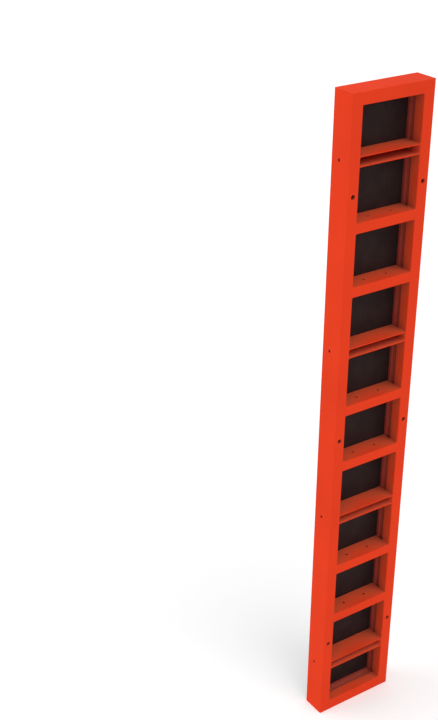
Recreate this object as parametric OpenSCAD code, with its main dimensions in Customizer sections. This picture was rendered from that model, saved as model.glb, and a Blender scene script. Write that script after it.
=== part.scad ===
// Steel-framed concrete formwork panel: four hollow, grooved edge rails with mitred
// corners, four open channel bars, six closed box bars and a plywood form lining.
// X runs across the width, +Y points out of the concrete face, +Z is up. The origin
// lies at the middle of the footprint, on the surface that the panel stands on.

/* [Panel] */
// Overall width, over the outer faces of the side rails
panel_w = 450; // [300:10:900]
// Overall height, over the outer faces of the top and bottom rails
panel_h = 3300; // [2400:50:3600]
// Overall depth, from the rib face to the concrete face
panel_d = 120; // [116:1:140]

/* [Edge rail section] */
// Width of the rail's rib face
rail_face = 58; // [56:1:66]
// Width of the rail at the floor of its clamp groove
rail_waist = 46; // [46:1:50]
// Width of the rail at the lip that the lining rests on
lip_reach = 57; // [54:1:58]
// Wall thickness of the hollow rail
rail_wall = 3; // [2:0.5:3.5]
// Depth from the rib face to the mouth of the clamp groove
groove_start = 56; // [52:1:60]
// Width of the clamp groove at its mouth
groove_mouth = 31; // [30:1:33]
// Width of the clamp groove at its floor
groove_floor = 23; // [23:1:26]
// Thickness of the nose that guards the edge of the lining
nose_t = 6; // [4:0.5:8]
// Outside radius of the outer rib corner
rail_outer_r = 3.5; // [3:0.5:8]
// Outside radius of the inner rib corner
rail_inner_r = 4; // [3:0.5:10]
// Inside radius of the tightest bends, along the clamp groove and the lip
groove_bend_r = 1; // [0.5:0.5:1]

/* [Form lining] */
// Thickness of the plywood form lining
lining_t = 15; // [12:1:21]
// Width of the sealed joint between the lining and the nose
seal_w = 2; // [1:0.5:4]
// Depth of the sealing bead, from the concrete face
seal_d = 6; // [3:1:10]

/* [Cross bars] */
// Height of a closed box bar
box_bar_h = 50; // [42:1:60]
// Wall thickness of a box bar
box_bar_wall = 3; // [2:0.5:4]
// Outside corner radius of a box bar
box_bar_r = 4.5; // [4:0.5:8]
// Height of an open channel bar
channel_h = 48; // [40:1:60]
// Thickness of a channel bar's web and flanges
channel_t = 4; // [3:0.5:5]
// Outside radius of the bends between a channel bar's web and flanges
channel_bend_r = 6; // [5.5:0.5:9]
// Corner radius at the tips of a channel bar's flanges
channel_tip_r = 1; // [0.5:0.25:1.25]
// Diameter of the two upright holes through each box bar
bar_hole_d = 12; // [8:1:18]
// Distance between the two upright holes of a box bar
bar_hole_spacing = 130; // [100:5:170]

/* [Tie holes] */
// Diameter of the passage for a form tie
tie_hole_d = 22; // [16:1:22]
// Wall thickness of the sleeve round the tie passage
tie_sleeve_wall = 2; // [1:0.5:2]
// Distance from a tie hole's axis to the panel's side
tie_inset = 29; // [24:1:29]

/* [Cross holes] */
// Diameter of the cross holes for connecting bolts
cross_hole_d = 16; // [12:1:16]
// Wall thickness of the bush round a cross hole
cross_bush_wall = 1.5; // [1:0.25:1.5]

/* [Rivets] */
// Diameter of a lining rivet's shank
rivet_d = 6; // [4:0.5:8]
// Diameter of a lining rivet's countersunk head
rivet_head_d = 12; // [10:1:16]
// Depth of a lining rivet's countersunk head
rivet_head_t = 3; // [2:0.5:5]
// Diameter of the closed end of a lining rivet
rivet_tail_d = 9; // [8.5:0.5:12]
// Thickness of the closed end of a lining rivet
rivet_tail_t = 3; // [2:0.5:4]
// Distance between neighbouring rivets of a cross bar
rivet_spacing = 120; // [100:5:140]
// Distance from a rail rivet's axis to the panel's side
rail_rivet_inset = 30; // [20:1:38]

/* [Clearances] */
// Radial clearance round sleeves, bushes and rivets
seat_gap = 0.1; // [0.05:0.05:0.3]

/* [Hidden] */
$fn = 48;

// The height is divided into equal bays. Bars are counted upwards from the bottom bay.
bay_count = 11;
bar_pitch = panel_h / bay_count;
channel_steps = [1, 4, 7, 10];
box_steps = [2, 3, 5, 6, 8, 9];
tie_bays = [2, 6, 10];
LEFT = -1;
RIGHT = 1;

// Depths measured from the rib face
lining_back = panel_d - lining_t;
groove_end = groove_start + groove_mouth;
groove_flank = (groove_mouth - groove_floor) / 2;
groove_middle = groove_start + groove_mouth / 2;
outward_bend_r = groove_bend_r + rail_wall;
rib_y = -panel_d / 2;

// Radii and lengths that follow from the sizes above
tie_sleeve_r = tie_hole_d / 2 + tie_sleeve_wall;
cross_bush_r = cross_hole_d / 2 + cross_bush_wall;
lining_edge = nose_t + seal_w;
bend_steps = 5;
cut_over = 1;

frame_colour = [0.89, 0.26, 0.13];
lining_colour = [0.17, 0.12, 0.12];
seal_colour = [0.42, 0.42, 0.40];
rivet_colour = [0.62, 0.63, 0.64];

// The rail's section without its nose, as (distance in from the side, depth)
rail_outline = [
    [0, 0],
    [rail_face, 0],
    [rail_face, groove_start],
    [rail_waist, groove_start + groove_flank],
    [rail_waist, groove_end - groove_flank],
    [lip_reach, groove_end],
    [lip_reach, lining_back],
    [0, lining_back],
];
rail_radii = [
    rail_outer_r, rail_inner_r,
    outward_bend_r, groove_bend_r, groove_bend_r, outward_bend_r,
    outward_bend_r, 0,
];

function unit(v) = v / norm(v);
function bar_level(step) = step * bar_pitch;
function bay_level(bay) = (bay - 0.5) * bar_pitch;
function is_tie_bay(bay) = len(search(bay, tie_bays)) > 0;

// Neighbours of vertex i of a closed, counter-clockwise outline
function previous(points, i) = points[(i + len(points) - 1) % len(points)];
function following(points, i) = points[(i + 1) % len(points)];

// Positive where the outline turns outwards at vertex i, negative in a notch
function turn(points, i) =
    cross(points[i] - previous(points, i), following(points, i) - points[i]);

function inward_normal(from, to) =
    let (along = unit(to - from)) [-along[1], along[0]];

// The same outline moved inwards by t on every side
function inset(points, t) = [
    for (i = [0 : len(points) - 1])
        let (
            before = inward_normal(previous(points, i), points[i]),
            after = inward_normal(points[i], following(points, i))
        )
        points[i] + t * (before + after) / (1 + before * after)
];

// Inside radius of a bend of wall t: tighter on outward bends, wider in a notch
function inside_radii(points, radii, t) = [
    for (i = [0 : len(points) - 1])
        turn(points, i) > 0 ? max(radii[i] - t, groove_bend_r) : radii[i] + t
];

function back_way(points, i) = unit(previous(points, i) - points[i]);
function ahead_way(points, i) = unit(following(points, i) - points[i]);
function is_square(points, i) = abs(back_way(points, i) * ahead_way(points, i)) < 0.001;

// Points along the arc of radius r that touches both sides of an oblique bend
function bend_points(points, i, r) =
    let (
        back = back_way(points, i),
        ahead = ahead_way(points, i),
        half_angle = acos(back * ahead) / 2,
        middle = points[i] + unit(back + ahead) * r / sin(half_angle),
        start = points[i] + back * r / tan(half_angle) - middle,
        sweep = sign(turn(points, i)) * (180 - 2 * half_angle)
    )
    [
        for (k = [0 : bend_steps])
            let (a = sweep * k / bend_steps)
            middle + [start[0] * cos(a) - start[1] * sin(a), start[0] * sin(a) + start[1] * cos(a)]
    ];

// The scrap between a square corner and the arc of radius r that touches both its sides
module corner_scrap(points, i, r) {
    back = back_way(points, i) * r;
    ahead = ahead_way(points, i) * r;
    middle = points[i] + back + ahead;
    difference() {
        polygon([points[i], points[i] + back, middle, points[i] + ahead]);
        translate(middle) circle(r = r);
    }
}

// An outline with a radius at each corner: square corners get a true arc, outward and
// inward ones alike, and oblique bends get points along theirs
module rounded_polygon(points, radii) {
    vertices = [0 : len(points) - 1];
    corners = [for (i = vertices) if (radii[i] > 0 && is_square(points, i)) i];
    outline = [
        for (i = vertices)
            each (radii[i] > 0 && !is_square(points, i))
                ? bend_points(points, i, radii[i])
                : [points[i]]
    ];
    difference() {
        union() {
            polygon(outline);
            for (i = corners) if (turn(points, i) < 0) corner_scrap(points, i, radii[i]);
        }
        for (i = corners) if (turn(points, i) > 0) corner_scrap(points, i, radii[i]);
    }
}

// ---- Edge rails ----------------------------------------------------------------

// Hollow section with a bevelled clamp groove, a lip for the lining and a solid nose
module rail_section() {
    difference() {
        union() {
            rounded_polygon(rail_outline, rail_radii);
            translate([0, lining_back - rail_wall])
                square([nose_t, lining_t + rail_wall]);
        }
        rounded_polygon(
            inset(rail_outline, rail_wall),
            inside_radii(rail_outline, rail_radii, rail_wall)
        );
    }
}

// A length of rail along +Z, mitred at 45 degrees at both ends
module mitred_rail(rail_length) {
    mitre = rail_face + cut_over;
    intersection() {
        linear_extrude(height = rail_length) rail_section();
        translate([0, panel_d + cut_over, 0]) rotate([90, 0, 0])
            linear_extrude(height = panel_d + 2 * cut_over)
                polygon([[0, 0], [mitre, mitre], [mitre, rail_length - mitre], [0, rail_length]]);
    }
}

// Holes for one tie sleeve, from the rib face through to the lining
module tie_bore(level) {
    translate([tie_inset, -cut_over, level]) rotate([-90, 0, 0])
        cylinder(r = tie_sleeve_r + seat_gap, h = panel_d + 2 * cut_over);
}

// Holes for one cross bush, from the outer side to the floor of the groove
module cross_bore(level) {
    translate([-cut_over, groove_middle, level]) rotate([0, 90, 0])
        cylinder(r = cross_bush_r + seat_gap, h = rail_waist + 2 * cut_over);
}

// Hole for the shank of one rivet, through a wall that backs the lining
module shank_bore(wall) {
    rotate([-90, 0, 0])
        cylinder(r = rivet_d / 2 + seat_gap, h = wall + 2 * cut_over);
}

// The left rail, in place. The right rail is its mirror image.
module left_side_rail() {
    translate([-panel_w / 2, rib_y, 0]) difference() {
        mitred_rail(panel_h);
        for (bay = tie_bays) tie_bore(bay_level(bay));
        for (step = channel_steps) cross_bore(bar_level(step));
        for (bay = [1 : bay_count])
            if (!is_tie_bay(bay))
                translate([rail_rivet_inset, lining_back - rail_wall - cut_over, bay_level(bay)])
                    shank_bore(rail_wall);
    }
}

// The bottom rail, in place. The top rail is its mirror image.
module lower_rail() {
    difference() {
        translate([panel_w / 2, rib_y, 0]) rotate([0, -90, 0]) mitred_rail(panel_w);
        for (side = [LEFT, RIGHT])
            translate([
                side * rivet_spacing,
                rib_y + lining_back - rail_wall - cut_over,
                rail_rivet_inset
            ])
                shank_bore(rail_wall);
    }
}

module left_rail() {
    color(frame_colour) left_side_rail();
}

module right_rail() {
    color(frame_colour) mirror([1, 0, 0]) left_side_rail();
}

module bottom_rail() {
    color(frame_colour) lower_rail();
}

module top_rail() {
    color(frame_colour) translate([0, 0, panel_h]) mirror([0, 0, 1]) lower_rail();
}

// ---- Cross bars ----------------------------------------------------------------

// Plan of the space between the side rails: bars seat on each rail's inner face and
// on its lip, and leave the clamp groove free behind their ends
module bar_plan() {
    seat = [
        [rail_face, 0],
        [rail_face, groove_end],
        [lip_reach, groove_end],
        [lip_reach, lining_back],
    ];
    last = len(seat) - 1;
    polygon(concat(
        [for (p = seat) [panel_w / 2 - p[0], p[1]]],
        [for (i = [last : -1 : 0]) [seat[i][0] - panel_w / 2, seat[i][1]]]
    ));
}

// A bar of the given section, coped to the side rails at both ends. The section is
// drawn as (depth, height above the bar's middle).
module coped_bar(bar_h) {
    intersection() {
        translate([-panel_w / 2, 0, 0]) rotate([90, 0, 90])
            linear_extrude(height = panel_w) children();
        translate([0, 0, -bar_h]) linear_extrude(height = 2 * bar_h) bar_plan();
    }
}

// Holes for the three rivets of one bar, through the wall that backs the lining
module bar_shank_bores(wall) {
    for (place = [-1 : 1])
        translate([place * rivet_spacing, lining_back - wall - cut_over, 0])
            shank_bore(wall);
}

// Closed rectangular tube with rounded corners
module box_section() {
    half_h = box_bar_h / 2;
    outline = [[0, -half_h], [lining_back, -half_h], [lining_back, half_h], [0, half_h]];
    radii = [for (p = outline) box_bar_r];
    difference() {
        rounded_polygon(outline, radii);
        rounded_polygon(inset(outline, box_bar_wall), inside_radii(outline, radii, box_bar_wall));
    }
}

// Folded channel with its web against the lining and its flanges towards the rib face
module channel_section() {
    half_h = channel_h / 2;
    inner_h = half_h - channel_t;
    web = lining_back - channel_t;
    rounded_polygon(
        [
            [0, -half_h], [lining_back, -half_h], [lining_back, half_h], [0, half_h],
            [0, inner_h], [web, inner_h], [web, -inner_h], [0, -inner_h],
        ],
        [
            channel_tip_r, channel_bend_r, channel_bend_r, channel_tip_r,
            channel_tip_r, channel_bend_r - channel_t, channel_bend_r - channel_t, channel_tip_r,
        ]
    );
}

module box_bar(step) {
    color(frame_colour) translate([0, rib_y, bar_level(step)]) difference() {
        coped_bar(box_bar_h) box_section();
        for (side = [LEFT, RIGHT])
            translate([side * bar_hole_spacing / 2, lining_back / 2, -box_bar_h])
                cylinder(d = bar_hole_d, h = 2 * box_bar_h);
        bar_shank_bores(box_bar_wall);
    }
}

module channel_bar(step) {
    color(frame_colour) translate([0, rib_y, bar_level(step)]) difference() {
        coped_bar(channel_h) channel_section();
        bar_shank_bores(channel_t);
    }
}

// ---- Form lining and its seal --------------------------------------------------

// Countersunk hole for one rivet, through the lining
module rivet_bore() {
    translate([0, -cut_over, 0]) shank_bore(lining_t);
    translate([0, lining_t - rivet_head_t, 0]) rotate([-90, 0, 0])
        cylinder(
            r1 = rivet_d / 2 + seat_gap,
            r2 = rivet_head_d / 2 + seat_gap,
            h = rivet_head_t
        );
}

// Places children at every bar rivet of the given bars, on the back of the lining
module at_bar_rivets(steps) {
    for (step = steps, place = [-1 : 1])
        translate([place * rivet_spacing, rib_y + lining_back, bar_level(step)])
            children();
}

// Places children at every rail rivet, on the back of the lining
module at_rail_rivets() {
    side_x = panel_w / 2 - rail_rivet_inset;
    for (bay = [1 : bay_count], side = [LEFT, RIGHT])
        if (!is_tie_bay(bay))
            translate([side * side_x, rib_y + lining_back, bay_level(bay)]) children();
    for (level = [rail_rivet_inset, panel_h - rail_rivet_inset], side = [LEFT, RIGHT])
        translate([side * rivet_spacing, rib_y + lining_back, level]) children();
}

module form_lining() {
    color(lining_colour) difference() {
        translate([lining_edge - panel_w / 2, rib_y + lining_back, lining_edge])
            cube([panel_w - 2 * lining_edge, lining_t, panel_h - 2 * lining_edge]);
        for (side = [LEFT, RIGHT], bay = tie_bays)
            translate([side * (panel_w / 2 - tie_inset), rib_y, bay_level(bay)])
                rotate([-90, 0, 0])
                    cylinder(r = tie_sleeve_r + seat_gap, h = panel_d + cut_over);
        at_bar_rivets(concat(channel_steps, box_steps)) rivet_bore();
        at_rail_rivets() rivet_bore();
    }
}

// Bead that fills the joint all round the lining, flush with the concrete face
module lining_seal() {
    color(seal_colour) difference() {
        translate([nose_t - panel_w / 2, panel_d / 2 - seal_d, nose_t])
            cube([panel_w - 2 * nose_t, seal_d, panel_h - 2 * nose_t]);
        translate([lining_edge - panel_w / 2, panel_d / 2 - seal_d - cut_over, lining_edge])
            cube([
                panel_w - 2 * lining_edge,
                seal_d + 2 * cut_over,
                panel_h - 2 * lining_edge
            ]);
    }
}

// ---- Sleeves, bushes and rivets ------------------------------------------------

// Tube through the rail and the lining that carries a form tie
module tie_sleeve(side, bay) {
    color(frame_colour)
        translate([side * (panel_w / 2 - tie_inset), rib_y, bay_level(bay)])
            rotate([-90, 0, 0]) difference() {
                cylinder(r = tie_sleeve_r, h = panel_d);
                translate([0, 0, -cut_over])
                    cylinder(d = tie_hole_d, h = panel_d + 2 * cut_over);
            }
}

// Tube across the rail, from its outer side to the floor of its groove
module cross_bush(side, step) {
    color(frame_colour)
        translate([side * panel_w / 2, rib_y + groove_middle, bar_level(step)])
            rotate([0, -side * 90, 0]) difference() {
                cylinder(r = cross_bush_r, h = rail_waist);
                translate([0, 0, -cut_over])
                    cylinder(d = cross_hole_d, h = rail_waist + 2 * cut_over);
            }
}

// Flush countersunk rivet, closed behind a wall of the given thickness
module rivet(wall) {
    shank_r = rivet_d / 2;
    rotate([-90, 0, 0]) rotate_extrude() polygon([
        [0, -wall - rivet_tail_t],
        [rivet_tail_d / 2, -wall - rivet_tail_t],
        [rivet_tail_d / 2, -wall],
        [shank_r, -wall],
        [shank_r, lining_t - rivet_head_t],
        [rivet_head_d / 2, lining_t],
        [0, lining_t],
    ]);
}

module bar_rivets() {
    color(rivet_colour) {
        at_bar_rivets(channel_steps) rivet(channel_t);
        at_bar_rivets(box_steps) rivet(box_bar_wall);
    }
}

module rail_rivets() {
    color(rivet_colour) at_rail_rivets() rivet(rail_wall);
}

// ---- Parts ---------------------------------------------------------------------

left_rail();
right_rail();
top_rail();
bottom_rail();

channel_bar(channel_steps[0]);  // channel_bar_1
channel_bar(channel_steps[1]);  // channel_bar_2
channel_bar(channel_steps[2]);  // channel_bar_3
channel_bar(channel_steps[3]);  // channel_bar_4

box_bar(box_steps[0]);  // box_bar_1
box_bar(box_steps[1]);  // box_bar_2
box_bar(box_steps[2]);  // box_bar_3
box_bar(box_steps[3]);  // box_bar_4
box_bar(box_steps[4]);  // box_bar_5
box_bar(box_steps[5]);  // box_bar_6

form_lining();
lining_seal();

tie_sleeve(LEFT, tie_bays[0]);  // tie_sleeve_left_low
tie_sleeve(LEFT, tie_bays[1]);  // tie_sleeve_left_middle
tie_sleeve(LEFT, tie_bays[2]);  // tie_sleeve_left_high
tie_sleeve(RIGHT, tie_bays[0]);  // tie_sleeve_right_low
tie_sleeve(RIGHT, tie_bays[1]);  // tie_sleeve_right_middle
tie_sleeve(RIGHT, tie_bays[2]);  // tie_sleeve_right_high

cross_bush(LEFT, channel_steps[0]);  // cross_bush_left_1
cross_bush(LEFT, channel_steps[1]);  // cross_bush_left_2
cross_bush(LEFT, channel_steps[2]);  // cross_bush_left_3
cross_bush(LEFT, channel_steps[3]);  // cross_bush_left_4
cross_bush(RIGHT, channel_steps[0]);  // cross_bush_right_1
cross_bush(RIGHT, channel_steps[1]);  // cross_bush_right_2
cross_bush(RIGHT, channel_steps[2]);  // cross_bush_right_3
cross_bush(RIGHT, channel_steps[3]);  // cross_bush_right_4

bar_rivets();
rail_rivets();
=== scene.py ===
"""Concrete formwork panel: the finishes and fine pieces round its packed steel frame.

The file is laid out as an add-on. Its sizes and colours are properties, each group of
like pieces has an operator, and the panel in the sidebar lists them in the order in
which they run. X runs across the panel's width, +Y out of the concrete face, +Z up.
"""

import bpy
import numpy as np
from mathutils import Matrix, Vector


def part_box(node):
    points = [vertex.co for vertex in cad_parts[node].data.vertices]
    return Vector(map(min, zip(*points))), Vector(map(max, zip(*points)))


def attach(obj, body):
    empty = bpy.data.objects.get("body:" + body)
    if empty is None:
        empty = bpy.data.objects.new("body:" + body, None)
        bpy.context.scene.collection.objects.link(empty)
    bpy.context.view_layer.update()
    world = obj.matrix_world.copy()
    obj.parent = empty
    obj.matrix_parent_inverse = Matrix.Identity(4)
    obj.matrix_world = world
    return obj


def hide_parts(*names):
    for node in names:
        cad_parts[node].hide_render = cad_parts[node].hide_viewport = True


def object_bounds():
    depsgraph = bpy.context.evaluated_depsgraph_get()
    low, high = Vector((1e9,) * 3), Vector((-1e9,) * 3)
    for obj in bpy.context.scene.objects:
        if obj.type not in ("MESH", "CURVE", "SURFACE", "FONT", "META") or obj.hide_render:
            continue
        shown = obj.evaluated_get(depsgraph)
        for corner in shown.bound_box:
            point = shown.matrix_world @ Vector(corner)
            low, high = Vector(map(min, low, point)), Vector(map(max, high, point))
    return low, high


bl_info = {
    "name": "Concrete formwork panel",
    "version": (1, 0, 0),
    "blender": (4, 5, 0),
    "location": "3D View > Sidebar > Formwork",
    "description": "Paint, film, weld beads, rivets and sealed joint of a formwork panel",
    "category": "Object",
}

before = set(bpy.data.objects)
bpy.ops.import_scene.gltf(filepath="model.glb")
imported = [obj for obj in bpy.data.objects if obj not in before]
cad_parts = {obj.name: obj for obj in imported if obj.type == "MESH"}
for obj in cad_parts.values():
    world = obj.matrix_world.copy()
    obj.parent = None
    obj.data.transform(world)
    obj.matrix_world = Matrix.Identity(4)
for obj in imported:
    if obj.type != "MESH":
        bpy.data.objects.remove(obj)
CAD_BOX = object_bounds()

MM = 0.001
BODY = "root"

# Nodes of the steel frame
BOX_BARS = sorted(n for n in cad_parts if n.startswith("box_bar_"))
CHANNEL_BARS = sorted(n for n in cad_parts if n.startswith("channel_bar_"))
RAILS = ["left_rail", "right_rail", "top_rail", "bottom_rail"]
SLEEVES = sorted(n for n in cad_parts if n.startswith(("tie_sleeve_", "cross_bush_")))

# Planes and sizes that the pieces and finishes go by, read off the frame
RIB_Y = CAD_BOX[0].y
CONCRETE_Y = CAD_BOX[1].y
RAIL_INNER_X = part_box("right_rail")[0].x
RAIL_INNER_LOW_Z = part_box("bottom_rail")[1].z
RAIL_INNER_HIGH_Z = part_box("top_rail")[0].z
RAIL_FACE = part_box("right_rail")[1].x - RAIL_INNER_X
LINING_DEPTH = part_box("form_lining")[0].y - RIB_Y
BAR_LEVELS = sorted(sum(corner.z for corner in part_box(n)) / 2 for n in BOX_BARS + CHANNEL_BARS)
BAR_PITCH = BAR_LEVELS[1] - BAR_LEVELS[0]
FLANGE = 4 * MM  # thickness of a channel's flanges
CHANNEL_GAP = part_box(CHANNEL_BARS[0])[1].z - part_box(CHANNEL_BARS[0])[0].z - 2 * FLANGE

# Weld beads
BEAD_STEP = 0.5 * MM  # length of one step along a bead
BEAD_POINTS = 9  # points across a bead's face
BEAD_SUNK = 0.3 * MM  # how far a bead's hidden edges lie inside the walls
BEAD_FLUSH = 0.12 * MM  # how far a bead stays behind the rib face
BEAD_ROOT = 2.5 * MM  # how much deeper the root of a bead lies where it rounds a rib edge
BEAD_TIP = 0.15  # share of the leg that is left at a bead's ends
BEAD_CROWN = 0.18  # height of a bead's crown, in legs
BEAD_LEAN = 0.7  # share of the crown that goes along each of the two legs
BAR_BEAD_TAPER = 3 * MM  # length over which a bar's bead draws in at its ends
CORNER_BEAD_TAPER = 4 * MM  # the same length for a corner's bead
CORNER_BEAD_START = 1.2 * MM  # depth at which a corner's bead begins
FLANGE_CORNER = 1 * MM  # radius of a flange's rib edge

# Materials: their names, and how strongly three of them mirror, where 0.5 is common plastic
PAINT, FILM, ZINC, SEALANT = "powder_coat_with_painted_light", "phenolic_film", "zinc_plate", "sealant"
PAINT_MIRROR, FILM_MIRROR, SEALANT_MIRROR = 0.008, 0.06, 0.3
# Openness, from ambient occlusion, at which each painted shade tone of the coat is full, and at
# which it is gone
SHADE_OPENNESS, CORNER_SHADE_OPENNESS = (0.35, 0.95), (0.05, 0.82)

# Rivets and sealed joint
RIVET_SPACE = 15 * MM  # points of two rivets lie further apart than this
FEWEST_RIVETS = 4  # fewer than this in a node means that they weren't told apart
RIVET_STEPS = 28  # steps of angle round a rivet
JOINT_STEPS = (60, 420)  # steps along the joint's short and long sides
JOINT_POINTS = 9  # points across the joint's hollow face
JOINT_BACK = 0.05 * MM  # how far the joint's edges lie below the concrete face

# Stage
FLOOR_GREY, FLOOR_GLOW = 0.80, 0.25  # the glow shows only where the floor is seen directly
LAMP_WIDTH = 50  # how wide each soft lamp looks, in degrees
FRONT_LAMP, SIDE_LAMP = (0, 50), (118, 30)  # azimuth and tilt that each shines along
CAMERA_REACH = 200.0  # farthest distance that the camera shows


# ---- Sizes and colours -----------------------------------------------------------


class PaintFinish(bpy.types.PropertyGroup):
    """Powder coat on the rails, the bars, the sleeves and the weld beads"""

    colour: bpy.props.FloatVectorProperty(
        name="Colour",
        description="Orange-red of the powder coat",
        subtype="COLOR",
        default=(0.80, 0.052, 0.016),
        min=0.0,
        max=1.0,
    )
    tone_change: bpy.props.FloatProperty(
        name="Tone change",
        description="How far the coat's tone drifts over the frame",
        subtype="FACTOR",
        default=0.05,
        min=0.0,
        max=0.5,
    )
    roughness: bpy.props.FloatProperty(
        name="Roughness",
        description="Middle roughness of the coat",
        subtype="FACTOR",
        default=0.46,
        min=0.0,
        max=1.0,
    )
    peel_size: bpy.props.FloatProperty(
        name="Orange peel",
        description="Width of one ripple of the coat's orange-peel surface",
        subtype="DISTANCE",
        default=2.5 * MM,
        min=0.5 * MM,
        max=20 * MM,
        precision=4,
    )
    # Painted shade: how far the ambient occlusion reaches that brings the coat's shade tones in
    shade_reach: bpy.props.FloatProperty(
        name="Recess reach",
        description="How far away other surfaces shelter the coat, so that dust stays on it",
        subtype="DISTANCE",
        default=150 * MM,
        min=1 * MM,
        max=500 * MM,
    )
    # Painted shade: a paler, duller tone of the coat where ambient occlusion finds a recess
    painted_shade_colour: bpy.props.FloatVectorProperty(
        name="Recess colour",
        description="Slightly dusty tone of the coat between the bars",
        subtype="COLOR",
        default=(0.93, 0.148, 0.052),
        min=0.0,
        max=1.0,
    )
    # Painted shade: dark tone of the coat where ambient occlusion finds the tightest corners
    corner_shade_colour: bpy.props.FloatVectorProperty(
        name="Corner colour",
        description="Dull tone of the coat in the tightest corners",
        subtype="COLOR",
        default=(0.20, 0.052, 0.036),
        min=0.0,
        max=1.0,
    )
    # Painted shade: lighter tone that takes the corner shade's place deep inside the channel bars
    channel_shade_colour: bpy.props.FloatVectorProperty(
        name="Channel colour",
        description="Tone of the coat deep inside the channel bars",
        subtype="COLOR",
        default=(0.80, 0.095, 0.045),
        min=0.0,
        max=1.0,
    )
    # Painted shade: dark tone of the coat along the clamp groove, where shade falls by the lining
    groove_shade_colour: bpy.props.FloatVectorProperty(
        name="Groove colour",
        description="Tone of the coat in the clamp groove and on the lip, where dirt collects",
        subtype="COLOR",
        default=(0.43, 0.084, 0.053),
        min=0.0,
        max=1.0,
    )
    groove_start: bpy.props.FloatProperty(
        name="Groove start",
        description="Depth from the rib face at which the clamp groove begins",
        subtype="DISTANCE",
        default=56 * MM,
        min=10 * MM,
        max=100 * MM,
    )
    # Painted shade: dark tone of the coat on the lip that carries the lining
    lip_shade_colour: bpy.props.FloatVectorProperty(
        name="Lip colour",
        description="Tone of the coat on the lip that carries the lining",
        subtype="COLOR",
        default=(0.36, 0.062, 0.044),
        min=0.0,
        max=1.0,
    )
    lip_start: bpy.props.FloatProperty(
        name="Lip start",
        description="Depth from the rib face at which the clamp groove ends and the lip begins",
        subtype="DISTANCE",
        default=83 * MM,
        min=10 * MM,
        max=110 * MM,
    )
    # Thinner coat and painted highlight: width of the lighter, whiter band along edges
    edge_width: bpy.props.FloatProperty(
        name="Thin edge",
        description="Width along an edge where the coat has drawn thin and looks lighter",
        subtype="DISTANCE",
        default=1.2 * MM,
        min=0.1 * MM,
        max=10 * MM,
        precision=4,
    )


class LiningFinish(bpy.types.PropertyGroup):
    """Phenolic film on the plywood lining"""

    colour: bpy.props.FloatVectorProperty(
        name="Film colour",
        description="Dark brown of the phenolic film",
        subtype="COLOR",
        default=(0.0266, 0.0163, 0.0158),
        min=0.0,
        max=1.0,
    )
    roughness: bpy.props.FloatProperty(
        name="Roughness",
        description="Middle roughness of the film",
        subtype="FACTOR",
        default=0.48,
        min=0.0,
        max=1.0,
    )
    grain_width: bpy.props.FloatProperty(
        name="Grain",
        description="Width of the veneer's grain lines that show through the film",
        subtype="DISTANCE",
        default=5 * MM,
        min=1 * MM,
        max=50 * MM,
        precision=4,
    )


class WeldSizes(bpy.types.PropertyGroup):
    """Fillet beads that join the bars to the rails and the rails to each other"""

    leg: bpy.props.FloatProperty(
        name="Leg",
        description="Leg of a fillet bead along each of the two surfaces that it joins",
        subtype="DISTANCE",
        default=4 * MM,
        min=1 * MM,
        max=10 * MM,
        precision=4,
    )
    run: bpy.props.FloatProperty(
        name="Run",
        description="Depth, from the rib face, to which a bead runs along a bar",
        subtype="DISTANCE",
        default=50 * MM,
        min=10 * MM,
        max=55 * MM,
        precision=4,
    )
    ripple_pitch: bpy.props.FloatProperty(
        name="Ripple pitch",
        description="Distance between neighbouring ripples of a bead",
        subtype="DISTANCE",
        default=2.4 * MM,
        min=0.5 * MM,
        max=8 * MM,
        precision=4,
    )
    ripple_height: bpy.props.FloatProperty(
        name="Ripple height",
        description="Height of a ripple over the valley beside it",
        subtype="DISTANCE",
        default=0.25 * MM,
        min=0.0,
        max=1 * MM,
        precision=5,
    )
    rail_corner: bpy.props.FloatProperty(
        name="Rail corner",
        description="Radius of the rails' inner rib corner, which the beads fill",
        subtype="DISTANCE",
        default=4 * MM,
        min=1 * MM,
        max=15 * MM,
        precision=4,
    )
    box_bar_corner: bpy.props.FloatProperty(
        name="Box bar corner",
        description="Corner radius of a closed box bar",
        subtype="DISTANCE",
        default=4.5 * MM,
        min=1 * MM,
        max=15 * MM,
        precision=4,
    )
    flange_thickness: bpy.props.FloatProperty(
        name="Flange thickness",
        description="Thickness of a channel bar's flanges",
        subtype="DISTANCE",
        default=FLANGE,
        min=1 * MM,
        max=10 * MM,
        precision=4,
    )


class RivetSizes(bpy.types.PropertyGroup):
    """Countersunk blind rivets that hold the lining"""

    head_diameter: bpy.props.FloatProperty(
        name="Head diameter",
        description="Diameter of the countersunk head",
        subtype="DISTANCE",
        default=12 * MM,
        min=4 * MM,
        max=30 * MM,
        precision=4,
    )
    head_depth: bpy.props.FloatProperty(
        name="Head depth",
        description="Depth of the countersunk head",
        subtype="DISTANCE",
        default=3 * MM,
        min=0.5 * MM,
        max=10 * MM,
        precision=4,
    )
    shank_diameter: bpy.props.FloatProperty(
        name="Shank diameter",
        description="Diameter of the shank",
        subtype="DISTANCE",
        default=6 * MM,
        min=2 * MM,
        max=12 * MM,
        precision=4,
    )
    stem_diameter: bpy.props.FloatProperty(
        name="Stem diameter",
        description="Diameter of the broken-off stem, sunk in the middle of the head",
        subtype="DISTANCE",
        default=3.2 * MM,
        min=1 * MM,
        max=6 * MM,
        precision=4,
    )
    tail_diameter: bpy.props.FloatProperty(
        name="Tail diameter",
        description="Diameter of the closed end behind the frame's wall",
        subtype="DISTANCE",
        default=9 * MM,
        min=3 * MM,
        max=20 * MM,
        precision=4,
    )
    tail_length: bpy.props.FloatProperty(
        name="Tail length",
        description="Length of the closed end behind the frame's wall",
        subtype="DISTANCE",
        default=3 * MM,
        min=1 * MM,
        max=10 * MM,
        precision=4,
    )


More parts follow.
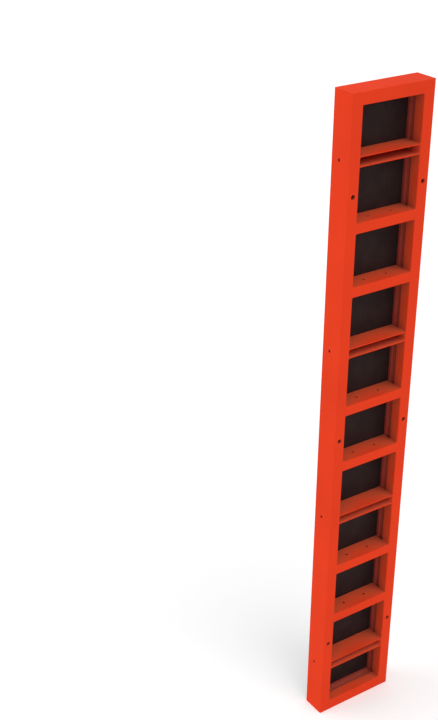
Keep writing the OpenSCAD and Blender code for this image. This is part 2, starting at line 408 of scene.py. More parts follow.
class JointSizes(bpy.types.PropertyGroup):
    """Elastic joint between the lining's edge and the rails' nose"""

    dip: bpy.props.FloatProperty(
        name="Dip",
        description="How far the joint's hollow face lies below the concrete face",
        subtype="DISTANCE",
        default=0.5 * MM,
        min=0.0,
        max=3 * MM,
        precision=5,
    )
    colour: bpy.props.FloatVectorProperty(
        name="Colour",
        description="Grey of the sealant",
        subtype="COLOR",
        default=(0.14, 0.14, 0.13),
        min=0.0,
        max=1.0,
    )


class StageSettings(bpy.types.PropertyGroup):
    """Floor, light and camera, which aren't part of the panel"""

    camera_azimuth: bpy.props.FloatProperty(
        name="Camera azimuth",
        description="Direction that the camera looks in, turned from +Y towards +X",
        subtype="ANGLE",
        default=np.radians(33.611),
    )
    camera_tilt: bpy.props.FloatProperty(
        name="Camera tilt",
        description="How far below the level the camera looks",
        subtype="ANGLE",
        default=np.radians(27.440),
    )
    camera_roll: bpy.props.FloatProperty(
        name="Camera roll",
        description="Turn of the camera round its own axis",
        subtype="ANGLE",
        default=np.radians(-0.242),
    )
    camera_place: bpy.props.FloatVectorProperty(
        name="Camera place",
        description="Where the camera stands",
        subtype="TRANSLATION",
        default=(-3.4832, -3.9829, 4.6617),
    )
    camera_lens: bpy.props.FloatProperty(
        name="Lens",
        description="Focal length of the camera",
        subtype="DISTANCE_CAMERA",
        default=63.158,
        min=1.0,
    )
    camera_shift: bpy.props.FloatVectorProperty(
        name="Shift",
        description="Shift of the picture on the sensor, across and up",
        size=2,
        default=(0.0005, 0.0150),
    )
    sky: bpy.props.FloatProperty(
        name="Sky",
        description="Strength of the even light from all round",
        default=0.6,
        min=0.0,
    )
    front_light: bpy.props.FloatProperty(
        name="Front light",
        description="Strength of the soft lamp high in front of the rib face",
        default=1.1,
        min=0.0,
    )
    side_light: bpy.props.FloatProperty(
        name="Side light",
        description="Strength of the soft lamp to the left of the panel and behind it",
        default=1.05,
        min=0.0,
    )
    floor_size: bpy.props.FloatProperty(
        name="Floor size",
        description="Side of the square floor",
        subtype="DISTANCE",
        default=80.0,
        min=1.0,
    )


class FormworkSettings(bpy.types.PropertyGroup):
    """Everything that the panel's operators read"""

    paint: bpy.props.PointerProperty(type=PaintFinish)
    lining: bpy.props.PointerProperty(type=LiningFinish)
    weld: bpy.props.PointerProperty(type=WeldSizes)
    rivet: bpy.props.PointerProperty(type=RivetSizes)
    joint: bpy.props.PointerProperty(type=JointSizes)
    stage: bpy.props.PointerProperty(type=StageSettings)


# ---- Meshes ----------------------------------------------------------------------


def ring_faces(rings, points, flipped=False):
    """Corner numbers of the quads between neighbouring rings of a tube.

    Point j of ring i is number i * points + j, and the last point of a ring joins the
    first, so the quad is (i, j), (i, j + 1), (i + 1, j + 1), (i + 1, j)."""
    i, j = np.meshgrid(np.arange(rings - 1), np.arange(points), indexing="ij")
    after = (j + 1) % points
    corners = np.stack(
        [i * points + j, i * points + after, (i + 1) * points + after, (i + 1) * points + j],
        axis=-1,
    ).reshape(-1, 4)
    return corners[:, ::-1] if flipped else corners


def capped_tube(rings, flipped=False):
    """Points and faces of a tube through an (rings, points, 3) array, closed at both
    ends by the end rings themselves."""
    count, points = rings.shape[:2]
    first = np.arange(points)[::-1]
    last = np.arange(points) + (count - 1) * points
    caps = [first, last] if not flipped else [first[::-1], last[::-1]]
    faces = ring_faces(count, points, flipped).tolist() + [cap.tolist() for cap in caps]
    return rings.reshape(-1, 3), faces


def joined(shells):
    """One set of points and faces out of several, each with its own numbering."""
    starts = np.cumsum([0] + [len(points) for points, _ in shells[:-1]])
    faces = [
        [int(corner + start) for corner in face]
        for start, (_, shell_faces) in zip(starts, shells)
        for face in shell_faces
    ]
    return np.concatenate([points for points, _ in shells]), faces


def add_piece(name, points, faces, material, slot):
    """A smooth-shaded object at the origin that rides on the panel's body."""
    mesh = bpy.data.meshes.new(name)
    mesh.from_pydata(points.tolist(), [], faces)
    mesh.polygons.foreach_set("use_smooth", np.ones(len(mesh.polygons), bool))
    mesh.materials.append(material)
    piece = bpy.data.objects.new(name, mesh)
    bpy.context.scene.collection.objects.link(piece)
    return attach(piece, BODY)


def rail_recess(depth, corner):
    """How far the rails' inner face has drawn back at a depth below the rib face.

    Along the rounded corner of radius r it is r - sqrt(r^2 - (r - depth)^2), and past
    the corner it is nothing."""
    left = np.clip(corner - depth, 0.0, corner)
    return corner - np.sqrt(corner**2 - left**2)


def smooth_step(t):
    """3 t^2 - 2 t^3, with t held between 0 and 1."""
    t = np.clip(t, 0.0, 1.0)
    return t * t * (3 - 2 * t)


def tapered_leg(from_end, taper, sizes):
    """A bead's leg, which draws in towards its ends.

    It is leg * (tip + (1 - tip) * sqrt(e)), where e steps smoothly over the taper."""
    ends = smooth_step(from_end / taper) ** 0.5
    return sizes.leg * (BEAD_TIP + (1 - BEAD_TIP) * ends)


def ripples(along, across, sizes):
    """Depth of the valleys between a bead's crescents.

    The phase is the way along the bead over the pitch, held back in the middle of its
    width by a third of a ripple, and the depth is height * (1 - |sin(pi phase)|)^2."""
    phase = along / sizes.ripple_pitch + 0.33 * (1 - (2 * across - 1) ** 2)
    return sizes.ripple_height * (1 - np.abs(np.sin(np.pi * phase))) ** 2


def bar_end_path(half_height, corner, run):
    """The outline of a bar's end: in along its upper face, round the rib edge and out
    along its lower face.

    It is c(s) + corner * n(s), where s is the way along it, c follows the centres of the
    two corners and n is the outward normal at angle a(s). What comes back is s, c and n,
    with c and n as (depth, height)."""
    flat, bend, front = run - corner, np.pi * corner / 2, 2 * (half_height - corner)
    knots = np.cumsum([0, flat, bend, front, bend, flat])
    s = np.linspace(0, knots[-1], int(knots[-1] / BEAD_STEP))[:, None]
    angle = np.interp(s, knots, np.radians([90, 90, 180, 180, 270, 270]))
    centre_depth = np.interp(s, knots, [run] + [corner] * 4 + [run])
    centre_height = np.interp(s, knots, (half_height - corner) * np.array([1, 1, 1, -1, -1, -1]))
    return s, (centre_depth, centre_height), (np.cos(angle), np.sin(angle))


def flange_bead(side, level, half_height, corner, sizes):
    """A bead round the end of a bar, or of a bar's flange, against a side rail.

    Across its width the bead goes from the bar's surface, at t = 0, to the rail's, at
    t = 1. On the flat faces it is a fillet with both legs equal, and over the rib edge it
    fills the rail's rounded corner flush with the rib face. Its crown is a sine of t."""
    s, centre, normal = bar_end_path(half_height, corner, sizes.run)
    centre_depth, centre_height = centre
    n_depth, n_height = normal
    t = np.linspace(0, 1, BEAD_POINTS)[None, :]
    leg = tapered_leg(np.minimum(s, s[-1] - s), BAR_BEAD_TAPER, sizes)
    over_rib = smooth_step(-n_depth)
    beside_rib = 1 - over_rib

    # Out from the bar's surface along n, and in from the rail's face
    out_at_bar = -BEAD_SUNK * beside_rib
    out = out_at_bar + (leg - out_at_bar) * t
    depth = np.maximum(centre_depth + (corner + out) * n_depth, BEAD_FLUSH)
    height = centre_height + (corner + out) * n_height
    in_at_bar = leg * beside_rib - BEAD_SUNK * over_rib
    in_at_rail = -(rail_recess(depth, sizes.rail_corner) + BEAD_SUNK * beside_rib)
    inward = in_at_bar + (in_at_rail - in_at_bar) * t

    crown = (BEAD_CROWN * leg * beside_rib - ripples(s, t, sizes)) * np.sin(np.pi * t)
    lean = BEAD_LEAN * crown
    inward = inward + lean
    depth = np.maximum(depth + lean * n_depth, BEAD_FLUSH) + np.maximum(-crown, 0) * over_rib
    height = height + lean * n_height

    # The hidden root, between the bar's wall and the rail's
    root_depth = centre_depth + (corner - BEAD_SUNK) * n_depth + BEAD_ROOT * over_rib
    root_height = centre_height + (corner - BEAD_SUNK) * n_height
    root_in = -rail_recess(root_depth, sizes.rail_corner) - BEAD_SUNK

    x = side * (RAIL_INNER_X - np.concatenate([inward, root_in], axis=1))
    y = RIB_Y + np.concatenate([depth, root_depth], axis=1)
    z = level + np.concatenate([height, root_height], axis=1)
    return capped_tube(np.stack([x, y, z], axis=-1), flipped=side > 0)


def corner_bead(side, upper, sizes):
    """A bead in the inner corner where a side rail meets the top or bottom rail.

    It runs in from the rib face along both rails' inner faces, which draw back together
    round their rib corners, so at each depth its section is a fillet whose root lies at
    the recess, and its face is the line between the legs' ends, bowed by a sine."""
    steps = int(sizes.run / BEAD_STEP)
    depth = np.linspace(CORNER_BEAD_START, sizes.run, steps)[:, None]
    t = np.linspace(0, 1, BEAD_POINTS)[None, :]
    leg = tapered_leg(np.minimum(depth - depth[0], depth[-1] - depth), CORNER_BEAD_TAPER, sizes)
    crown = (BEAD_CROWN * leg - ripples(depth, t, sizes)) * np.sin(np.pi * t)
    lean = BEAD_LEAN * crown
    recess = rail_recess(depth, sizes.rail_corner)
    root = -recess - BEAD_SUNK
    inward = np.concatenate([leg * (1 - t) - BEAD_SUNK * t + lean - recess, root], axis=1)
    upward = np.concatenate([leg * t - BEAD_SUNK * (1 - t) + lean - recess, root], axis=1)
    x = side * (RAIL_INNER_X - inward)
    z = RAIL_INNER_HIGH_Z - upward if upper else RAIL_INNER_LOW_Z + upward
    y = RIB_Y + np.broadcast_to(depth, x.shape)
    return capped_tube(np.stack([x, y, z], axis=-1), flipped=(side > 0) == upper)


def groups(values, gap):
    """Number of the group that each value falls in, where groups lie a gap or more apart."""
    order = np.argsort(values)
    numbers = np.empty(len(values), int)
    numbers[order] = np.concatenate([[0], np.cumsum(np.diff(values[order]) > gap)])
    return numbers


def rivet_places(node):
    """(x, z, lowest y) of each rivet in a node, told apart by the space between them."""
    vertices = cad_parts[node].data.vertices
    points = np.empty(len(vertices) * 3)
    vertices.foreach_get("co", points)
    points = points.reshape(-1, 3)
    rows, columns = groups(points[:, 2], RIVET_SPACE), groups(points[:, 0], RIVET_SPACE)
    numbers = rows * (columns.max() + 1) + columns
    found = []
    for number in np.unique(numbers):
        own = points[numbers == number]
        middle = (own.min(0) + own.max(0)) / 2
        found.append((middle[0], middle[2], own[:, 1].min()))
    return np.array(found)


def turned_rivets(places, sizes):
    """Rivets turned about Y: a profile of (radius, y) goes round in steps of angle.

    The head's face is a shallow crown with the broken stem sunk in its middle. The
    points behind the shank are measured from the tail's end, so each rivet is as long
    as its own wall needs."""
    head, stem = sizes.head_diameter / 2, sizes.stem_diameter / 2
    shank, tail = sizes.shank_diameter / 2, sizes.tail_diameter / 2
    from_face = np.array([
        [0.0, -1.05 * MM],
        [0.55 * stem, -1.1 * MM],
        [0.80 * stem, -1.35 * MM],
        [stem, -1.3 * MM],
        [1.04 * stem, -0.35 * MM],
        [1.20 * stem, -0.12 * MM],
        [1.6 * stem, -0.06 * MM],
        [0.82 * head, -0.10 * MM],
        [0.95 * head, -0.20 * MM],
        [head, -0.42 * MM],
        [shank + 0.3 * MM, -sizes.head_depth],
        [shank, -sizes.head_depth - 0.4 * MM],
    ])
    from_end = np.array([
        [shank, sizes.tail_length],
        [0.93 * tail, sizes.tail_length * 0.98],
        [tail, sizes.tail_length * 0.72],
        [tail, sizes.tail_length * 0.38],
        [0.80 * tail, sizes.tail_length * 0.10],
        [0.45 * tail, 0.0],
        [0.0, 0.0],
    ])
    radius = np.concatenate([from_face[:, 0], from_end[:, 0]])
    angle = np.arange(RIVET_STEPS) * 2 * np.pi / RIVET_STEPS
    ring_x = radius[1:-1, None] * np.cos(angle)
    ring_z = radius[1:-1, None] * np.sin(angle)
    # The profile's first and last points are poles, closed by fans of triangles
    rings = len(radius) - 2
    first = np.arange(RIVET_STEPS)
    last = first + (rings - 1) * RIVET_STEPS
    face_pole, tail_pole = rings * RIVET_STEPS, rings * RIVET_STEPS + 1
    faces = ring_faces(rings, RIVET_STEPS).tolist()
    faces += [[face_pole, a, b] for a, b in zip(np.roll(first, -1), first)]
    faces += [[tail_pole, a, b] for a, b in zip(last, np.roll(last, -1))]

    shells = []
    for x, z, end in places:
        y = np.concatenate([CONCRETE_Y + from_face[:, 1], end + from_end[:, 1]])
        ring = np.stack([x + ring_x, np.broadcast_to(y[1:-1, None], ring_x.shape), z + ring_z], -1)
        tips = np.array([[x, y[0], z], [x, y[-1], z]])
        shells.append((np.concatenate([ring.reshape(-1, 3), tips]), faces))
    return joined(shells)


def joint_ring(low, high, inner_half, outer_half, bottom, sizes):
    """The sealed joint: a narrow section carried round the lining's four edges.

    The section goes from u = -1 at the lining to u = +1 at the nose. Its face lies at
    y = concrete face - back - dip * (1 - u^2) * (1 + w), where w is the sum of two slow
    waves along the path. At the four corners the section widens by the mitre."""
    steps_x, steps_z = JOINT_STEPS
    along_x = np.linspace(-1, 1, steps_x + 1)[:-1]
    along_z = np.linspace(-1, 1, steps_z + 1)[:-1]
    # Round the rectangle as (x, z) in half sizes, each corner once
    x = np.concatenate([along_x, np.ones(steps_z), -along_x, -np.ones(steps_z)])
    z = np.concatenate([-np.ones(steps_x), along_z, np.ones(steps_x), -along_z])
    out_x = np.where(np.isclose(np.abs(x), 1), np.sign(x), 0.0)
    out_z = np.where(np.isclose(np.abs(z), 1), np.sign(z), 0.0)
    half, middle = (outer_half - inner_half) / 2, (outer_half + inner_half) / 2
    half_z, middle_z = (high - low) / 2 + half, (low + high) / 2

    u = np.linspace(-1, 1, JOINT_POINTS)
    step = np.arange(len(x))
    wave = 0.25 * np.sin(0.61 * step) + 0.15 * np.sin(1.73 * step + 1.0)
    dip = sizes.dip * (1 - u[None, :] ** 2) * (1 + wave[:, None])
    y = np.concatenate([CONCRETE_Y - JOINT_BACK - dip, np.full((len(x), 2), bottom)], axis=1)
    u = np.concatenate([u, [1.0, -1.0]])[None, :]
    px = (x * middle)[:, None] + half * u * out_x[:, None]
    pz = (middle_z + z * half_z)[:, None] + half * u * out_z[:, None]
    rings = np.stack([px, y, pz], axis=-1)
    count, points = rings.shape[:2]
    # The last ring joins the first
    faces = ring_faces(count + 1, points, flipped=True) % (count * points)
    return rings.reshape(-1, 3), faces.tolist()


# ---- Materials -------------------------------------------------------------------


def new_material(name):
    """An empty material with its node tree and its surface shader."""
    material = bpy.data.materials.new(name)
    material.use_nodes = True
    return material, material.node_tree, material.node_tree.nodes["Principled BSDF"]


def noise(tree, cells, detail=2.0, per_axis=(1.0, 1.0, 1.0)):
    """Noise on Object coordinates, with cells * per_axis cells for each metre."""
    place = tree.nodes.new("ShaderNodeTexCoord")
    mapping = tree.nodes.new("ShaderNodeMapping")
    mapping.inputs["Scale"].default_value = per_axis
    texture = tree.nodes.new("ShaderNodeTexNoise")
    texture.inputs["Scale"].default_value = cells
    texture.inputs["Detail"].default_value = detail
    tree.links.new(place.outputs["Object"], mapping.inputs["Vector"])
    tree.links.new(mapping.outputs["Vector"], texture.inputs["Vector"])
    return texture.outputs["Fac"]


def spread(tree, value, low, high, from_low=0.3, from_high=0.7):
    """The value carried over from one range to another in a straight line, and held at its
    ends. The first range is the one that most of a noise lies in, if none is given."""
    ramp = tree.nodes.new("ShaderNodeMapRange")
    ramp.inputs["From Min"].default_value = from_low
    ramp.inputs["From Max"].default_value = from_high
    ramp.inputs["To Min"].default_value = low
    ramp.inputs["To Max"].default_value = high
    tree.links.new(value, ramp.inputs["Value"])
    return ramp.outputs["Result"]


def rise(tree, value, start, end):
    """0 where the value is below the start, 1 above the end, and a straight way between."""
    return spread(tree, value, 0.0, 1.0, start, end)


def fall(tree, value, start, end):
    """1 where the value is below the start, 0 above the end, and a straight way between."""
    return spread(tree, value, 1.0, 0.0, start, end)


def blend(tree, factor, first, second):
    """A colour between two, each a colour or another node's output."""
    mix = tree.nodes.new("ShaderNodeMix")
    mix.data_type = "RGBA"
    tree.links.new(factor, mix.inputs["Factor"])
    for socket, colour in ((mix.inputs[6], first), (mix.inputs[7], second)):
        if isinstance(colour, bpy.types.NodeSocket):
            tree.links.new(colour, socket)
        else:
            socket.default_value = (*colour, 1.0)
    return mix.outputs[2]


def worked_out(tree, operation, *values):
    """The result of one sum on one or two values, each a number or a node's output."""
    sum_node = tree.nodes.new("ShaderNodeMath")
    sum_node.operation = operation
    for socket, value in zip(sum_node.inputs, values):
        if isinstance(value, bpy.types.NodeSocket):
            tree.links.new(value, socket)
        else:
            socket.default_value = value
    return sum_node.outputs[0]


def bump(tree, height, distance, strength, under=None):
    """A bump normal of the given height, laid over another one if there is one."""
    relief = tree.nodes.new("ShaderNodeBump")
    relief.inputs["Distance"].default_value = distance
    relief.inputs["Strength"].default_value = strength
    tree.links.new(height, relief.inputs["Height"])
    if under is not None:
        tree.links.new(under, relief.inputs["Normal"])
    return relief.outputs["Normal"]


def edge_mask(tree, width):
    """1 on flat faces and less near an edge: how far the surface's own normal agrees
    with the normal of a surface rounded by the given width."""
    rounded = tree.nodes.new("ShaderNodeBevel")
    rounded.samples = 4
    rounded.inputs["Radius"].default_value = width
    surface = tree.nodes.new("ShaderNodeNewGeometry")
    agree = tree.nodes.new("ShaderNodeVectorMath")
    agree.operation = "DOT_PRODUCT"
    tree.links.new(rounded.outputs["Normal"], agree.inputs[0])
    tree.links.new(surface.outputs["Normal"], agree.inputs[1])
    return agree.outputs["Value"]


def openness(tree, reach):
    """1 on an open face, falling towards 0 in a recess whose walls lie within reach."""
    around = tree.nodes.new("ShaderNodeAmbientOcclusion")
    around.samples = 8
    around.inputs["Distance"].default_value = reach
    return around.outputs["AO"]


def place_in_frame(tree):
    """How deep a point lies behind the rib face, how far outside the frame's opening, and
    how far above or below the middle of the nearest bar.

    The depth is y less the rib face's y. The reach is the greatest of |x| less the side
    rails' inner x, the bottom rail's upper z less z, and z less the top rail's lower z:
    it is less than nothing inside the opening, and grows into the rails. The distance
    from a bar goes up and down with z, from nothing to half the bars' pitch."""
    place = tree.nodes.new("ShaderNodeTexCoord")
    parts = tree.nodes.new("ShaderNodeSeparateXYZ")
    tree.links.new(place.outputs["Object"], parts.inputs["Vector"])
    x, y, z = parts.outputs
    depth = worked_out(tree, "SUBTRACT", y, RIB_Y)
    sideways = worked_out(tree, "SUBTRACT", worked_out(tree, "ABSOLUTE", x), RAIL_INNER_X)
    below = worked_out(tree, "SUBTRACT", RAIL_INNER_LOW_Z, z)
    above = worked_out(tree, "SUBTRACT", z, RAIL_INNER_HIGH_Z)
    upright = worked_out(tree, "MAXIMUM", below, above)
    reach = worked_out(tree, "MAXIMUM", sideways, upright)
    above_first_bar = worked_out(tree, "SUBTRACT", z, BAR_LEVELS[0])
    from_bar = worked_out(tree, "PINGPONG", above_first_bar, BAR_PITCH / 2)
    return depth, reach, from_bar


def shaded(colour, factor):
    """The colour made darker or lighter by a factor."""
    return tuple(min(1.0, channel * factor) for channel in colour)


def open_and_highlight_tone(tree, finish):
    """The coat's tone in the open: it drifts slowly, and along an edge it is lighter and
    whiter, partly a thinner coat and partly a painted highlight."""
    colour = tuple(finish.colour)
    drift = rise(tree, noise(tree, cells=2.2), 0.3, 0.7)
    darker = shaded(colour, 1 - finish.tone_change)
    brighter = shaded(colour, 1 + finish.tone_change)
    # Thinner coat and painted highlight: at most a third of the lighter tone, where a rounded
    # edge would turn furthest
    thin = spread(tree, edge_mask(tree, finish.edge_width), 0.35, 0.0, 0.80, 0.99)
    lighter = (min(1.0, colour[0] * 1.06), colour[1] + 0.03, colour[2] + 0.015)
    return blend(tree, thin, blend(tree, drift, darker, brighter), lighter)


def painted_shade_tone(tree, tone, finish):
    """The coat's tone with painted shade where it lies out of the open.

    The rib face, the frame's outer sides and the nose keep the open tone. Elsewhere a
    paler, duller painted shade comes in as ambient occlusion finds the surface less open,
    then a dark painted shade in the tightest corners, or a lighter painted shade between
    a channel's flanges. The groove and the lip have painted shade tones of their own."""
    depth, reach, from_bar = place_in_frame(tree)
    within_rails = fall(tree, reach, RAIL_FACE - 3 * MM, RAIL_FACE - 1 * MM)
    sheltered = worked_out(tree, "MULTIPLY", rise(tree, depth, 1 * MM, 4 * MM), within_rails)
    exposed = worked_out(tree, "SUBTRACT", 1.0, sheltered)
    # Ambient occlusion, held at 1 on the open faces, sets where shade is painted into the coat
    ambient_openness = worked_out(tree, "MAXIMUM", openness(tree, finish.shade_reach), exposed)
    # Painted shade: the paler, duller recess tone where the surface is less open
    tone = blend(tree, rise(tree, ambient_openness, *SHADE_OPENNESS), tuple(finish.painted_shade_colour), tone)

    # Painted shade: dark in the tightest corners, lighter between a channel's flanges
    in_channel = fall(tree, from_bar, CHANNEL_GAP / 2 - 0.5 * MM, CHANNEL_GAP / 2 + 0.5 * MM)
    deepest_shade = blend(tree, in_channel, tuple(finish.corner_shade_colour), tuple(finish.channel_shade_colour))
    tone = blend(tree, rise(tree, ambient_openness, *CORNER_SHADE_OPENNESS), deepest_shade, tone)

    # Painted shade along the clamp groove and on the lip, chosen by depth behind the rib face
    past_start = rise(tree, depth, finish.groove_start - 0.5 * MM, finish.groove_start + 0.5 * MM)
    before_lining = fall(tree, depth, LINING_DEPTH + 1 * MM, LINING_DEPTH + 2 * MM)
    in_groove = worked_out(tree, "MULTIPLY", past_start, rise(tree, reach, 0.2 * MM, 0.8 * MM))
    in_groove = worked_out(tree, "MULTIPLY", in_groove, within_rails)
    in_groove = worked_out(tree, "MULTIPLY", in_groove, before_lining)
    on_lip = rise(tree, depth, finish.lip_start - 3 * MM, finish.lip_start + 3 * MM)
    groove_shade_tone = blend(tree, on_lip, tuple(finish.groove_shade_colour), tuple(finish.lip_shade_colour))
    return blend(tree, in_groove, tone, groove_shade_tone)


def paint_material(finish):
    """Satin powder coat: its tone drifts slowly, it is lighter along edges, partly a thinner
    coat and partly a painted highlight, it has painted shade in recesses, and its surface
    has a fine orange peel."""
    material, tree, shader = new_material(PAINT)
    tone = painted_shade_tone(tree, open_and_highlight_tone(tree, finish), finish)
    tree.links.new(tone, shader.inputs["Base Color"])
    low, high = finish.roughness - 0.05, finish.roughness + 0.05
    gloss = spread(tree, noise(tree, cells=9.0, detail=3.0), low, high)
    tree.links.new(gloss, shader.inputs["Roughness"])
    shader.inputs["Specular IOR Level"].default_value = PAINT_MIRROR
    peel = noise(tree, cells=1 / finish.peel_size, detail=1.0)
    tree.links.new(bump(tree, peel, 0.12 * MM, 0.35), shader.inputs["Normal"])
    return material


def film_material(finish):
    """Phenolic film on veneer: long grain lines telegraph through it, its brown is
    mottled, and its sheen is rubbed in broad patches."""
    material, tree, shader = new_material(FILM)
    colour = tuple(finish.colour)
    grain = noise(tree, cells=1 / finish.grain_width, detail=3.0, per_axis=(1.0, 1.0, 0.045))
    mottle = rise(tree, noise(tree, cells=14.0, detail=4.0), 0.3, 0.7)
    tone = blend(tree, mottle, shaded(colour, 0.82), shaded(colour, 1.18))
    lines = spread(tree, grain, 0.0, 0.45, 0.45, 0.75)
    tone = blend(tree, lines, tone, shaded(colour, 0.62))
    tree.links.new(tone, shader.inputs["Base Color"])
    rubbed = noise(tree, cells=5.0, detail=3.0, per_axis=(1.0, 1.0, 0.5))
    gloss = spread(tree, rubbed, finish.roughness - 0.09, finish.roughness + 0.09)
    tree.links.new(gloss, shader.inputs["Roughness"])
    shader.inputs["Specular IOR Level"].default_value = FILM_MIRROR
    fine = bump(tree, noise(tree, cells=900.0), 0.05 * MM, 0.25)
    tree.links.new(bump(tree, grain, 0.25 * MM, 0.30, fine), shader.inputs["Normal"])
    return material


def steel_material():
    """Zinc-plated steel with a dull, slightly blotchy plating."""
    material, tree, shader = new_material(ZINC)
    blotch = rise(tree, noise(tree, cells=260.0, detail=3.0), 0.3, 0.7)
    tone = blend(tree, blotch, (0.36, 0.36, 0.37), (0.52, 0.52, 0.52))
    tree.links.new(tone, shader.inputs["Base Color"])
    shader.inputs["Metallic"].default_value = 1.0
    gloss = spread(tree, noise(tree, cells=700.0), 0.30, 0.48)
    tree.links.new(gloss, shader.inputs["Roughness"])
    scratch = noise(tree, cells=1800.0, detail=1.0, per_axis=(1.0, 1.0, 0.12))
    tree.links.new(bump(tree, scratch, 0.03 * MM, 0.3), shader.inputs["Normal"])
    return material


def sealant_material(sizes):
    """Matt elastic sealant with a faint skin texture."""
    material, tree, shader = new_material(SEALANT)
    colour = tuple(sizes.colour)
    patch = rise(tree, noise(tree, cells=60.0, detail=3.0), 0.3, 0.7)
    tone = blend(tree, patch, shaded(colour, 0.85), shaded(colour, 1.12))
    tree.links.new(tone, shader.inputs["Base Color"])
    shader.inputs["Roughness"].default_value = 0.72
    shader.inputs["Specular IOR Level"].default_value = SEALANT_MIRROR
    skin = noise(tree, cells=1200.0)
    tree.links.new(bump(tree, skin, 0.06 * MM, 0.4), shader.inputs["Normal"])
    return material


def made_material(name, make, *settings):
    """The material of that name, made once and shared by the pieces that need it."""
    return bpy.data.materials.get(name) or make(*settings)


def dress(nodes, material):
    """Every material slot of these CAD nodes gets this material."""
    for name in nodes:
        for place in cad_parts[name].material_slots:
            place.material = material


# ---- Operators -------------------------------------------------------------------


class FORMWORK_OT_paint_frame(bpy.types.Operator):
    """Powder coat the rails, bars, sleeves and bushes"""

    bl_idname = "formwork.paint_frame"
    bl_label = "Paint the frame"

    def execute(self, context):
        paint = made_material(PAINT, paint_material, context.scene.formwork.paint)
        dress(RAILS + BOX_BARS + CHANNEL_BARS + SLEEVES, paint)
        return {"FINISHED"}


class FORMWORK_OT_film_lining(bpy.types.Operator):
    """Give the plywood lining its phenolic film"""

    bl_idname = "formwork.film_lining"
    bl_label = "Film the lining"

    def execute(self, context):
        film = made_material(FILM, film_material, context.scene.formwork.lining)
        dress(["form_lining"], film)
        return {"FINISHED"}


class FORMWORK_OT_bar_welds(bpy.types.Operator):
    """Weld the ends of the box bars and the channel bars to the side rails"""

    bl_idname = "formwork.bar_welds"
    bl_label = "Weld the bars"

    def execute(self, context):
        settings = context.scene.formwork
        sizes = settings.weld
        paint = made_material(PAINT, paint_material, settings.paint)
        flange_half = sizes.flange_thickness / 2
        for side, name in ((-1, "left"), (1, "right")):
            beads = []
            for node in BOX_BARS:
                low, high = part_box(node)
                half = (high.z - low.z) / 2
                beads.append(
                    flange_bead(side, (low.z + high.z) / 2, half, sizes.box_bar_corner, sizes)
                )
            for node in CHANNEL_BARS:
                low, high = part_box(node)
                for level in (low.z + flange_half, high.z - flange_half):
                    beads.append(flange_bead(side, level, flange_half, FLANGE_CORNER, sizes))
            add_piece(f"bar_welds_{name}", *joined(beads), paint, "frame_paint")
        return {"FINISHED"}


class FORMWORK_OT_corner_welds(bpy.types.Operator):
    """Weld the rails to each other in the frame's four inner corners"""

    bl_idname = "formwork.corner_welds"
    bl_label = "Weld the corners"

    def execute(self, context):
        settings = context.scene.formwork
        paint = made_material(PAINT, paint_material, settings.paint)
        beads = [
            corner_bead(side, upper, settings.weld) for side in (-1, 1) for upper in (False, True)
        ]
        add_piece("corner_welds", *joined(beads), paint, "frame_paint")
        return {"FINISHED"}


class FORMWORK_OT_rivets(bpy.types.Operator):
    """Rivet the lining to the bars and the rails"""

    bl_idname = "formwork.rivets"
    bl_label = "Rivet the lining"

    def execute(self, context):
        steel = made_material(ZINC, steel_material)
        for node in ("bar_rivets", "rail_rivets"):
            places = rivet_places(node)
            if len(places) < FEWEST_RIVETS:
                raise RuntimeError(f"only {len(places)} rivets were told apart in {node}")
            shape = turned_rivets(places, context.scene.formwork.rivet)
            piece = add_piece(f"turned_{node}", *shape, steel, "rivet_steel")
            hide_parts(node)
        return {"FINISHED"}


class FORMWORK_OT_sealed_joint(bpy.types.Operator):
    """Seal the joint between the lining and the rails' nose"""

    bl_idname = "formwork.sealed_joint"
    bl_label = "Seal the joint"

    def execute(self, context):
        sizes = context.scene.formwork.joint
        sealant = made_material(SEALANT, sealant_material, sizes)
        lining_low, lining_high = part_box("form_lining")
        seal_low, seal_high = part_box("lining_seal")
        shape = joint_ring(
            lining_low.z, lining_high.z, lining_high.x, seal_high.x, seal_low.y, sizes
        )
        piece = add_piece("sealed_joint", *shape, sealant, "joint_sealant")
        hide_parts("lining_seal")
        return {"FINISHED"}


class FORMWORK_OT_stage(bpy.types.Operator):
    """Set the floor, the light and the camera"""

    bl_idname = "formwork.stage"
    bl_label = "Set the stage"

    def execute(self, context):
        settings = context.scene.formwork.stage
        scene = context.scene
        add_floor(settings.floor_size)
        add_light(scene, settings)
        add_camera(scene, settings)
        scene.view_settings.view_transform = "Standard"
        return {"FINISHED"}


def seen_directly(tree):
    """1 for rays that see a surface directly, in a mirror or through glass, else 0."""
    path = tree.nodes.new("ShaderNodeLightPath")
    mirrored = worked_out(
        tree, "MAXIMUM", path.outputs["Is Glossy Ray"], path.outputs["Is Transmission Ray"]
    )
    return worked_out(tree, "MAXIMUM", path.outputs["Is Camera Ray"], mirrored)


def add_floor(size):
    """A square floor under the panel that looks white and keeps the panel's shadow."""
    material, tree, shader = new_material("studio_floor")
    shader.inputs["Base Color"].default_value = (FLOOR_GREY, FLOOR_GREY, FLOOR_GREY, 1.0)
    shader.inputs["Roughness"].default_value = 0.9
    shader.inputs["Specular IOR Level"].default_value = 0.0
    shader.inputs["Emission Color"].default_value = (1.0, 1.0, 1.0, 1.0)
    glow = spread(tree, seen_directly(tree), 0.0, FLOOR_GLOW, 0.0, 1.0)
    tree.links.new(glow, shader.inputs["Emission Strength"])
    half = size / 2
    corners = np.array([[-half, -half, 0], [half, -half, 0], [half, half, 0], [-half, half, 0]])
    mesh = bpy.data.meshes.new("studio_floor")
    mesh.from_pydata(corners.tolist(), [], [[0, 1, 2, 3]])
    mesh.materials.append(material)
    floor = bpy.data.objects.new("studio_floor", mesh)
    bpy.context.scene.collection.objects.link(floor)


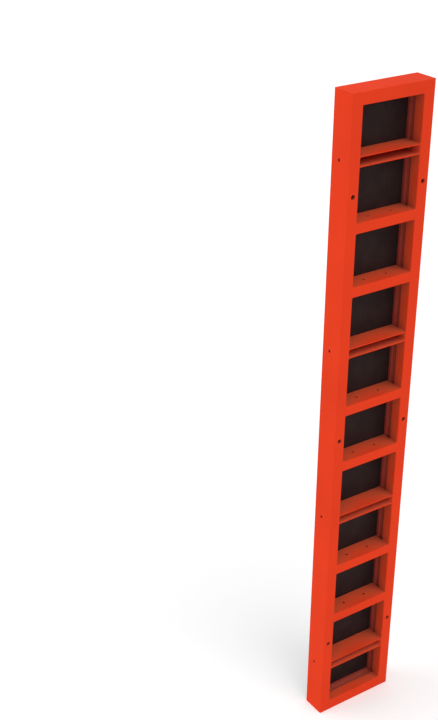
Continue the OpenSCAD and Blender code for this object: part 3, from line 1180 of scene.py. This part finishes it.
def add_lamp(name, strength, direction, place):
    """A broad, soft lamp that shines from a place along a direction."""
    light = bpy.data.lights.new(name, "SUN")
    light.energy = strength
    light.angle = np.radians(LAMP_WIDTH)
    lamp = bpy.data.objects.new(name, light)
    bpy.context.scene.collection.objects.link(lamp)
    lamp.matrix_world = looking(*np.radians(direction), 0.0, place)


def add_light(scene, settings):
    """Even light from all round, seen as white, and two soft lamps: one high in front
    of the rib face and one to the left, behind the panel."""
    world = bpy.data.worlds.new("studio")
    world.use_nodes = True
    scene.world = world
    tree = world.node_tree
    background = tree.nodes["Background"]
    background.inputs["Color"].default_value = (1.0, 1.0, 1.0, 1.0)
    strength = spread(tree, seen_directly(tree), settings.sky, 1.0, 0.0, 1.0)
    tree.links.new(strength, background.inputs["Strength"])
    add_lamp("front_light", settings.front_light, FRONT_LAMP, (0.0, -4.0, 6.0))
    add_lamp("side_light", settings.side_light, SIDE_LAMP, (-4.0, 2.0, 5.0))


def looking(azimuth, tilt, roll, place):
    """The place and turn of something that looks along its own -Z.

    Forward is (sin a cos t, cos a cos t, -sin t), right is forward x up, and the roll
    turns right and up about forward."""
    forward = np.array([
        np.sin(azimuth) * np.cos(tilt),
        np.cos(azimuth) * np.cos(tilt),
        -np.sin(tilt),
    ])
    right = np.cross(forward, [0.0, 0.0, 1.0])
    right /= np.linalg.norm(right)
    up = np.cross(right, forward)
    turned_right = np.cos(roll) * right - np.sin(roll) * up
    turned_up = np.sin(roll) * right + np.cos(roll) * up
    rows = np.column_stack([turned_right, turned_up, -forward, place])
    return Matrix(rows.tolist() + [[0.0, 0.0, 0.0, 1.0]])


def add_camera(scene, settings):
    """The camera, left of the panel and above it, looking down across the rib face."""
    lens = bpy.data.cameras.new("camera")
    lens.lens = settings.camera_lens
    lens.shift_x, lens.shift_y = settings.camera_shift
    lens.clip_end = CAMERA_REACH
    camera = bpy.data.objects.new("camera", lens)
    scene.collection.objects.link(camera)
    camera.matrix_world = looking(
        settings.camera_azimuth,
        settings.camera_tilt,
        settings.camera_roll,
        settings.camera_place,
    )
    scene.camera = camera


# ---- Sidebar ---------------------------------------------------------------------


class VIEW3D_PT_formwork(bpy.types.Panel):
    """Lists the operators with the sizes and colours that they read"""

    bl_label = "Formwork panel"
    bl_idname = "VIEW3D_PT_formwork"
    bl_space_type = "VIEW_3D"
    bl_region_type = "UI"
    bl_category = "Formwork"

    def draw(self, context):
        settings = context.scene.formwork
        for operator, group in STEPS:
            box = self.layout.box()
            box.operator(operator.bl_idname)
            if group:
                values = getattr(settings, group)
                for name in values.__annotations__:
                    box.prop(values, name)


# Each operator, in the order in which it runs, and the settings shown under it
STEPS = (
    (FORMWORK_OT_paint_frame, "paint"),
    (FORMWORK_OT_film_lining, "lining"),
    (FORMWORK_OT_bar_welds, "weld"),
    (FORMWORK_OT_corner_welds, None),
    (FORMWORK_OT_rivets, "rivet"),
    (FORMWORK_OT_sealed_joint, "joint"),
    (FORMWORK_OT_stage, "stage"),
)

CLASSES = (
    PaintFinish,
    LiningFinish,
    WeldSizes,
    RivetSizes,
    JointSizes,
    StageSettings,
    FormworkSettings,
    *(operator for operator, _ in STEPS),
    VIEW3D_PT_formwork,
)


def register():
    for each in CLASSES:
        bpy.utils.register_class(each)
    bpy.types.Scene.formwork = bpy.props.PointerProperty(type=FormworkSettings)


def unregister():
    del bpy.types.Scene.formwork
    for each in reversed(CLASSES):
        bpy.utils.unregister_class(each)


def main():
    """Runs every operator."""
    register()
    for operator, _ in STEPS:
        category, name = operator.bl_idname.split(".")
        getattr(getattr(bpy.ops, category), name)()


if __name__ == "__main__":
    main()
